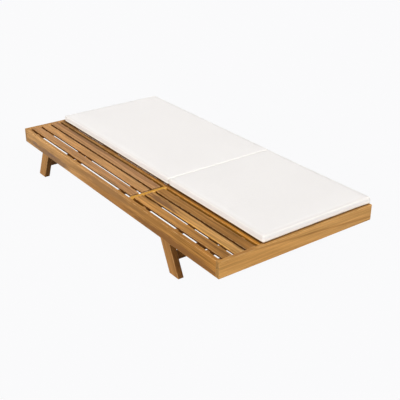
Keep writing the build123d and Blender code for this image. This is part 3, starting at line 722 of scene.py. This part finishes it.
# Hinges, bolts and screws are zinc plated steel, the only metal in the lounger.
# The leaves are pressed and their knuckles rolled; the plating is dull silver, faintly cloudy.
# None of it shows from above while the cushions are on.
def plate_with_zinc(finish, pieces, base_rough, tint):
    """Dull silver plating with cloudy bloom and fine scratches."""
    bloom_shade, scratch_relief = 0.72, 0.0002
    material, tree, shader = new_finish(finish)
    place = fit(tree, "TexCoord", {}, {}).outputs["Object"]
    bloom = cloud(tree, place, (190, 190, 190), (2, 3, 4), 4)[0]
    scratch = cloud(tree, place, (900, 160, 900), (1, 6, 2), 3)[0]
    worn = [share * bloom_shade for share in tint[:3]] + [1.0]
    colour = blend_tones(tree, ease(tree, bloom, 0.3, 0.75), tint, worn)
    rough = reckon(tree, "MULTIPLY_ADD", scratch, 0.22, base_rough)
    lead_in(tree, shader, colour, rough, scratch, scratch_relief, strength=0.2)
    shader.inputs["Metallic"].default_value = 1.0
    for piece in pieces:
        coat(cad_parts[piece], material)


hinge_pieces = ["hinge_fixed_leaves", "hinge_moving_leaves", "hinge_pins"]
plate_with_zinc("hinge_zinc", hinge_pieces, 0.28, tone(206, 206, 204))
screws = ["frame_screws", "deck_screws", "hinge_fixed_screws", "backrest_screws"]
plate_with_zinc("screw_zinc", screws, 0.3, tone(212, 206, 190))
plate_with_zinc("bolt_zinc", ["leg_bolts", "prop_pivot_bolts"], 0.24, tone(204, 206, 208))


# The cushion is in two parts that meet at the fold, foam slabs in sewn covers of off-white cloth.
# A cover is a top and a bottom panel on a side strip, with plain seams that stand up a little.
# They lie loose on the slats.
def make_plain_weave():
    """Plain woven cloth: warp and weft passing over each other, with uneven yarns."""
    tree, get, give = new_effect(
        "plain_weave",
        [
            ("Cloth place", "Vector", None),
            ("Yarn", "Float", 0.0012),
            ("Color", "Color", tone(240, 237, 234)),
        ],
        [("Color", "Color"), ("Height", "Float"), ("Roughness", "Float")],
    )
    slub_contrast, crown_contrast, cast_contrast = 0.05, 0.02, 0.03
    place = get["Cloth place"]
    pitch = reckon(tree, "DIVIDE", 1.0, get["Yarn"])
    fed = {0: place, "Scale": pitch}
    yarns = fit(tree, "VectorMath", {"operation": "SCALE"}, fed).outputs[0]
    over = fit(tree, "TexChecker", {}, {"Vector": yarns, "Scale": 1.0}).outputs["Fac"]
    across = split(tree, yarns)
    crowns = []
    for axis in (across[0], across[1]):
        crown = reckon(tree, "SINE", reckon(tree, "MULTIPLY", axis, math.pi), 0)
        crowns.append(reckon(tree, "ABSOLUTE", crown, 0))
    fed = {0: over, 2: crowns[0], 3: crowns[1]}
    height = fit(tree, "Mix", {"data_type": "FLOAT"}, fed).outputs[0]
    slub = cloud(tree, place, (30, 900, 0), (4, 1, 0), 2)[0]
    slub_across = cloud(tree, place, (900, 30, 0), (2, 8, 0), 2)[0]
    slubs = reckon(tree, "ADD", slub, slub_across)
    cast = cloud(tree, place, (3.2, 3.2, 0), (5, 9, 0), 3)[0]
    uneven = reckon(tree, "SUBTRACT", slubs, 1.0)
    bright = reckon(tree, "MULTIPLY_ADD", uneven, slub_contrast, 0.985)
    # The yarns' crowns are painted a little lighter than the hollows between them: painted shade of
    # the weave.
    bright = reckon(tree, "MULTIPLY_ADD", height, crown_contrast, bright)
    bright = reckon(tree, "MULTIPLY_ADD", swing(tree, cast), cast_contrast, bright)
    fed = {"Value": bright, "Color": get["Color"]}
    tree.links.new(fit(tree, "HueSaturation", {}, fed).outputs[0], give["Color"])
    tree.links.new(reckon(tree, "MULTIPLY_ADD", slubs, 0.35, height), give["Height"])
    tree.links.new(reckon(tree, "MULTIPLY_ADD", height, -0.06, 0.86), give["Roughness"])
    return tree


plain_weave = make_plain_weave()


def weave_cloth(finish, colour, yarn, relief, painted_light_patches=()):
    """Off-white cloth, its weave laid by the piece's own map, with soft patches of painted light
    and shade.
    """
    material, tree, shader = new_finish(finish)
    place = fit(tree, "UVMap", {"uv_map": "weave"}, {}).outputs[0]
    fed = {"Cloth place": place, "Yarn": yarn, "Color": colour}
    cloth = fit(tree, "Group", {"node_tree": plain_weave}, fed).outputs
    dyed = cloth["Color"]
    place = fit(tree, "TexCoord", {}, {}).outputs["Object"]
    for low, high, soft, patch in painted_light_patches:
        fed = {"Place": place, "Low": low, "High": high, "Soft": soft, "Patch": patch}
        fed = {**fed, "Color": dyed, "Share": 1.0}
        dyed = fit(tree, "Group", {"node_tree": soft_patch}, fed).outputs[0]
    lead_in(tree, shader, dyed, cloth["Roughness"], cloth["Height"], relief, strength=0.5)
    shader.inputs["Specular IOR Level"].default_value = 0.2
    shader.inputs["Sheen Weight"].default_value = 0.12
    shader.inputs["Sheen Roughness"].default_value = 0.5
    return material


# Painted shade dims the cover round its upper edges on the shelf side and the head end, and painted
# light brightens it low on its sides.
painted_rim_shade, painted_low_light = tone(230, 226, 223), tone(255, 252, 246)
rim_shade_soft, low_light_soft, past = 0.014, 0.012, 1.1
cushion_base, cushion_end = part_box("seat_cushion")[0].z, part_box("back_cushion")[1]
shelf_edge, head_edge = cushion_end.x - 0.023, cushion_end.y - 0.021
rim_shade_start, low_light_start, low_light_end = (cushion_base + rise for rise in (0.0157, -0.0083, 0.0217))
cover_painted_light = [
    ((shelf_edge, -past, rim_shade_start), (past, past, past), rim_shade_soft, painted_rim_shade),
    ((-past, head_edge, rim_shade_start), (past, past, past), rim_shade_soft, painted_rim_shade),
    ((-past, -past, low_light_start), (past, past, low_light_end), low_light_soft, painted_low_light),
]
cover_tone, seam_tone = tone(238, 235, 233), tone(240, 237, 228)
cover_yarn, cover_relief, seam_yarn, seam_relief = 0.0012, 0.0003, 0.0009, 0.0002
cover_cloth = weave_cloth(
    "cushion_cover_cloth", cover_tone, cover_yarn, cover_relief, painted_light_patches=cover_painted_light
)
seam_cloth = weave_cloth("cushion_seam_cloth", seam_tone, seam_yarn, seam_relief)

panel_height = 0.036
edge_round, fold_round, base_round = 0.008, 0.004, 0.003
hair = 0.0001
side_draw, end_share, spread_corner = 0.002, 0.6, 8
seam_in, seam_radius, seam_lift = edge_round * 0.29, 0.0008, 0.0002
seam_cuts, long_run = 59, 0.1
cloth_grid, sewn_width, panel_zone, crown_zone = 0.006, 0.006, 0.004, 0.002
fill_steps = 20
least_swell, more_swell, swell_run, strip_swell = 0.0008, 0.0032, 0.15, 0.0014
slack_height, slack_closeness = 0.0007, 4.2
pucker_height, pucker_closeness, pucker_reach, calm_width = 0.0006, 34, 0.018, 0.02
base_gap, beam_bulge, head_bulge = 0.0003, 0.003, 0.005


def pick_edges(mesh, wanted):
    """Selects only the edges of a mesh whose middle and run pass the test, in edit mode."""
    bpy.ops.object.mode_set(mode="EDIT")
    bpy.ops.mesh.select_mode(type="EDGE")
    bpy.ops.mesh.select_all(action="DESELECT")
    bpy.ops.object.mode_set(mode="OBJECT")
    for edge in mesh.edges:
        ends = [mesh.vertices[i].co for i in edge.vertices]
        edge.select = wanted((ends[0] + ends[1]) / 2, ends[1] - ends[0])
    bpy.ops.object.mode_set(mode="EDIT")


def round_edges(case, wanted, offset, segments):
    """Rounds the case's edges that pass the test."""
    pick_edges(case.data, wanted)
    bpy.ops.mesh.bevel(offset=offset, segments=segments, affect="EDGES")


def sew_case(name, low, high, fold):
    """The cover, cut and sewn, with fuller edges above than at the base and the fold."""
    bpy.ops.object.select_all(action="DESELECT")
    bpy.ops.mesh.primitive_cube_add(size=1.0, location=(low + high) / 2)
    case = bpy.context.object
    case.name = name
    case.scale = high - low
    bpy.ops.object.transform_apply(location=True, rotation=False, scale=True)

    def on_top(place):
        return high.z - place.z < hair

    def at_fold(place):
        return abs(place.y - fold) < hair

    round_edges(case, lambda place, run: abs(run.z) > 10 * hair, edge_round, 4)
    round_edges(case, lambda place, run: on_top(place) and not at_fold(place), edge_round, 4)
    round_edges(case, lambda place, run: place.z - low.z < hair, base_round, 2)
    if fold > (low.y + high.y) / 2:
        round_edges(case, lambda place, run: on_top(place) and at_fold(place), fold_round, 3)
    bpy.ops.object.mode_set(mode="OBJECT")
    return case


def drawn_in(place, low, high, spread):
    """How far a cover's sides draw in between the corners, and its far head corner spreads."""
    middle, half = (low + high) / 2, (high - low) / 2
    share_x, share_y = (place.x - middle.x) / half.x, (place.y - middle.y) / half.y
    draw_x = -side_draw * share_x * max(0.0, 1 - share_y**2)
    draw_y = -end_share * side_draw * share_y * max(0.0, 1 - share_x**2)
    far, head = max(0.0, -share_x), max(0.0, (1 + share_y) / 2)
    spread_y = end_share * spread * (far * head) ** spread_corner
    return Vector((draw_x, draw_y, 0)) + Vector((-spread * far * head, spread_y, 0))


def sew_seam(name, pad, low, high, level, spread):
    """The seam round one panel: the turned-in edges stand up as a slim ridge on the cover."""
    bpy.ops.object.select_all(action="DESELECT")
    middle = ((low.x + high.x) / 2, (low.y + high.y) / 2, level)
    bpy.ops.mesh.primitive_plane_add(size=1.0, location=middle)
    seam = bpy.context.object
    seam.name = name
    seam.scale = (high.x - low.x - 2 * seam_in, high.y - low.y - 2 * seam_in, 1)
    bpy.ops.object.transform_apply(location=True, rotation=False, scale=True)
    bpy.ops.object.mode_set(mode="EDIT")
    bpy.ops.mesh.select_all(action="SELECT")
    bpy.ops.mesh.bevel(offset=edge_round - seam_in, segments=5, affect="VERTICES")
    bpy.ops.mesh.select_all(action="SELECT")
    bpy.ops.mesh.delete(type="ONLY_FACE")
    for axis in (0, 1):
        pick_edges(seam.data, lambda place, run: abs(run[axis]) > long_run)
        bpy.ops.mesh.subdivide(number_cuts=seam_cuts)
    bpy.ops.object.mode_set(mode="OBJECT")
    for point in seam.data.vertices:
        point.co += drawn_in(point.co, low, high, spread)
    lie = seam.modifiers.new("lie", "SHRINKWRAP")
    lie.target, lie.offset = pad, seam_lift
    lie.wrap_method, lie.wrap_mode = "NEAREST_SURFACEPOINT", "ABOVE_SURFACE"
    bpy.ops.object.modifier_apply(modifier="lie")
    bpy.ops.object.convert(target="CURVE")
    seam = bpy.context.object
    seam.data.bevel_depth = seam_radius
    seam.data.bevel_resolution = 2
    bpy.ops.object.convert(target="MESH")
    bpy.ops.object.shade_smooth()
    return bpy.context.object


def map_weave(piece):
    """Lays the weave on a piece: flat on its panels, and along its side strips."""
    layer = piece.data.uv_layers.get("weave") or piece.data.uv_layers.new(name="weave")
    for face in piece.data.polygons:
        way = max(range(3), key=lambda i: abs(face.normal[i]))
        used = [i for i in range(3) if i != way]
        for corner in face.loop_indices:
            place = piece.data.vertices[piece.data.loops[corner].vertex_index].co
            layer.data[corner].uv = (place[used[0]], place[used[1]])


def stuff_cushion(name, low, high, fold, spread):
    """Fills a cover: its seams hold, it swells between them, and its underside lies flat."""
    pad = sew_case(name, low, high, fold)
    remesh = pad.modifiers.new("cut", "REMESH")
    remesh.mode = "VOXEL"
    remesh.voxel_size = cloth_grid
    bpy.ops.object.modifier_apply(modifier="cut")
    sewn = pad.vertex_groups.new(name="sewn")
    to_sides, rest = [], []
    for point in pad.data.vertices:
        place = point.co.copy()
        to_side = min(place.x - low.x, high.x - place.x, place.y - low.y, high.y - place.y)
        to_level = min(high.z - place.z, place.z - low.z)
        if place.z < low.z + panel_zone or max(to_side, to_level) < sewn_width:
            sewn.add([point.index], 1.0, "REPLACE")
        point.co += drawn_in(place, low, high, spread)
        to_sides.append(to_side)
        rest.append(point.co.copy())
    cloth = pad.modifiers.new("fill", "CLOTH")
    cloth.settings.quality = 4
    cloth.settings.mass = 0.25
    cloth.settings.tension_stiffness = 18
    cloth.settings.compression_stiffness = 18
    cloth.settings.bending_stiffness = 2.5
    cloth.settings.use_pressure = True
    cloth.settings.uniform_pressure_force = 4.0
    cloth.settings.vertex_group_mass = "sewn"
    cloth.settings.effector_weights.gravity = 0.0
    cloth.point_cache.frame_start, cloth.point_cache.frame_end = 1, fill_steps
    for step in range(1, fill_steps + 1):
        bpy.context.scene.frame_set(step)
    bpy.ops.object.modifier_apply(modifier="fill")
    bpy.context.scene.frame_set(1)
    for point, start, to_side in zip(pad.data.vertices, rest, to_sides):
        moved, limit = point.co - start, strip_swell
        if start.z > high.z - crown_zone:
            limit = least_swell + more_swell * min(1.0, to_side / swell_run)
        if moved.length > limit:
            point.co = start + moved * (limit / moved.length)
        if start.z > high.z - panel_zone:
            wide = Vector((start.x * slack_closeness, start.y * slack_closeness, 3.0))
            fine = Vector((start.x * pucker_closeness, start.y * pucker_closeness, 8.0))
            slack = noise.noise(wide) * slack_height
            pucker = noise.noise(fine) * pucker_height * math.exp(-to_side / pucker_reach)
            point.co.z += (slack + pucker) * min(1.0, to_side / calm_width)
        point.co.z = max(point.co.z, low.z)
    finer = pad.modifiers.new("finer", "SUBSURF")
    finer.levels = finer.render_levels = 1
    bpy.ops.object.modifier_apply(modifier="finer")
    pad.vertex_groups.clear()
    bpy.ops.object.shade_smooth()
    return pad


def lay_cushion(name, node, body, spread):
    """One part of the cushion, with its seams."""
    low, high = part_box(node)
    high_y = high.y + (head_bulge if body == "backrest" else 0)
    low = Vector((low.x, low.y, cushion_base + base_gap))
    high = Vector((high.x + beam_bulge, high_y, cushion_base + panel_height))
    pad = stuff_cushion(name, low, high, high.y if body == "frame" else low.y, spread)
    pieces = [(pad, cover_cloth)]
    for label, level in (("top", high.z - seam_in), ("bottom", low.z + seam_in)):
        seam = sew_seam("%s_%s_seam" % (name, label), pad, low, high, level, spread)
        pieces.append((seam, seam_cloth))
    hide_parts(node)
    for piece, cloth in pieces:
        map_weave(piece)
        coat(piece, cloth)
        if body == "backrest":
            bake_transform(piece)
        else:
            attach(piece, body)


lay_cushion("seat_pad", "seat_cushion", "frame", spread=0.003)
lay_cushion("back_pad", "back_cushion", "backrest", spread=0.01)


# The lounger stands on a plain pale studio floor, with the same pale tone behind it.
# Wide soft light comes low from the head end and from the shelf side, and a faint one from above.
# The camera stands off the head end's shelf-side corner, at the photograph's height and angle.
def rays_that_see(tree):
    """1 for rays of the camera or in metal or glass, and 0 for light that falls on things."""
    path = fit(tree, "LightPath", {}, {}).outputs
    seen = reckon(tree, "MAXIMUM", path["Is Camera Ray"], path["Is Glossy Ray"])
    return reckon(tree, "MAXIMUM", seen, path["Is Transmission Ray"])


floor_size, floor_shadow = 80.0, 0.045
bpy.ops.object.select_all(action="DESELECT")
bpy.ops.mesh.primitive_plane_add(size=floor_size)
floor = bpy.context.object
floor.name = "studio_floor"
floor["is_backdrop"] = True
pale = bpy.data.materials.new("studio_floor_paint")
pale.use_nodes = True
tree = pale.node_tree
painted = fit(tree, "BsdfDiffuse", {}, {"Color": tone(132, 132, 134)}).outputs[0]
shown = fit(tree, "Emission", {}, {"Color": tone(254, 254, 255), "Strength": 1.0}).outputs[0]
mostly = fit(tree, "MixShader", {}, {0: floor_shadow, 1: shown, 2: painted}).outputs[0]
both = fit(tree, "MixShader", {}, {0: rays_that_see(tree), 1: painted, 2: mostly}).outputs[0]
tree.links.new(both, tree.nodes["Material Output"].inputs[0])
floor.data.materials.append(pale)

world = bpy.data.worlds.new("studio")
bpy.context.scene.world = world
world.use_nodes = True
tree = world.node_tree
lit = fit(tree, "Background", {}, {"Color": tone(255, 253, 250), "Strength": 0.22}).outputs[0]
seen = fit(tree, "Background", {}, {"Color": tone(250, 250, 252), "Strength": 1.0}).outputs[0]
both = fit(tree, "MixShader", {}, {0: rays_that_see(tree), 1: lit, 2: seen}).outputs[0]
tree.links.new(both, tree.nodes["World Output"].inputs[0])

lamp_distance, lamp_spread = 4, math.radians(38)
lamps = (
    ("head_softbox", (-0.06, 0.9, 0.66), 0.87),
    ("shelf_softbox", (0.9, -0.05, 0.38), 0.69),
    ("top_softbox", (-0.15, 0.1, 1.0), 0.05),
)
for label, place, level in lamps:
    bpy.ops.object.light_add(type="SUN", location=Vector(place) * lamp_distance)
    lamp = bpy.context.object
    lamp.name = label
    lamp.data.angle = lamp_spread
    lamp.data.energy = level * math.pi
    lamp.rotation_euler = Vector(place).to_track_quat("Z", "Y").to_euler()

turn, tilt = math.radians(144.064), math.radians(26.316)
level_share = math.cos(tilt)
backward = Vector((math.sin(turn) * level_share, -math.cos(turn) * level_share, math.sin(tilt)))
camera_place = (2.1956, 3.2289, 1.964)
bpy.ops.object.camera_add(location=camera_place)
camera = bpy.context.object
camera.rotation_mode = "QUATERNION"
camera.rotation_quaternion = (-backward).to_track_quat("-Z", "Y")
camera.data.sensor_width = 36.0
camera.data.lens = 68.20
bpy.context.scene.camera = camera
bpy.context.scene.view_settings.view_transform = "Standard"

low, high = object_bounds()
